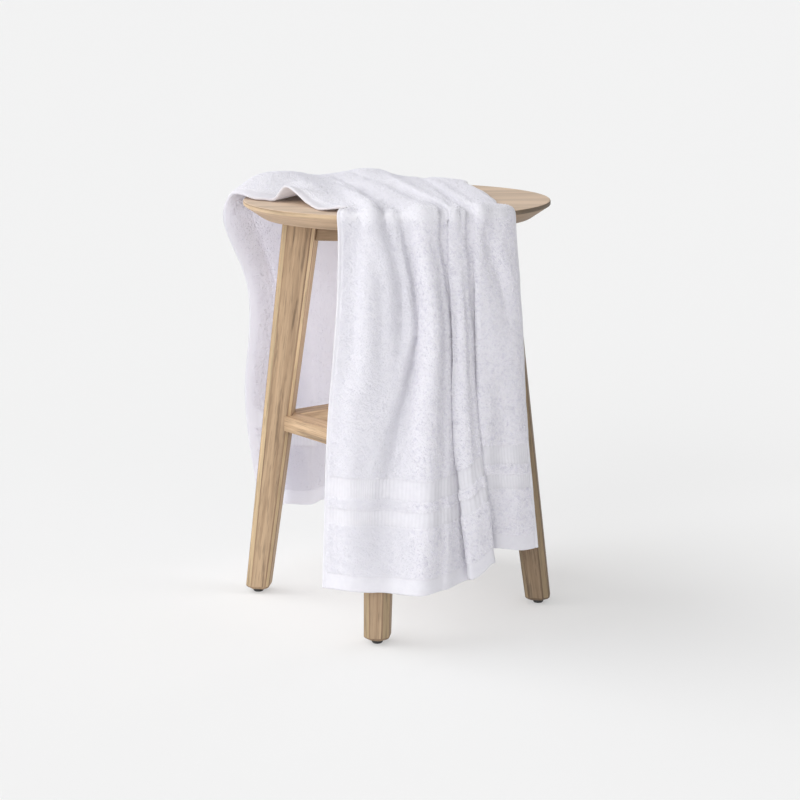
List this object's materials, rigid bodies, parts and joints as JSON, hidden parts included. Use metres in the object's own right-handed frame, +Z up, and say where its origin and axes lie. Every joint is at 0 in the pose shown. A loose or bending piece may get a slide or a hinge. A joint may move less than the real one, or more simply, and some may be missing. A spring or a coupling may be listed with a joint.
{
  "type": "bath towel draped over a round wooden stool",
  "caption": "White terry bath towel hung in uneven folds over a round wooden stool with splayed legs, its two ends hanging down front and back.",
  "frame": {"origin": "on the floor, under the middle of the bounding box", "axes": "+Z up, -Y towards the side from which the picture is taken, +X to the right of that view"},
  "size_m": [0.3646, 0.3736, 0.4712],
  "materials": {
    "terry": "looped cotton pile, white",
    "seat_wood": "pale matt hardwood",
    "leg_wood": "pale matt hardwood with darker grain",
    "glide": "black moulded plastic"
  },
  "bodies": {
    "root": {"towel": "terry", "seat": "seat_wood", "leg_front": "leg_wood", "leg_right": "leg_wood", "leg_back": "leg_wood", "leg_left": "leg_wood", "rail_front_right": "leg_wood", "rail_back_right": "leg_wood", "rail_back_left": "leg_wood", "rail_front_left": "leg_wood", "cross_bar_side_to_side": "leg_wood", "cross_bar_front_to_back": "leg_wood", "glide_front": "glide", "glide_right": "glide", "glide_back": "glide", "glide_left": "glide"}
  },
  "joints": []
}
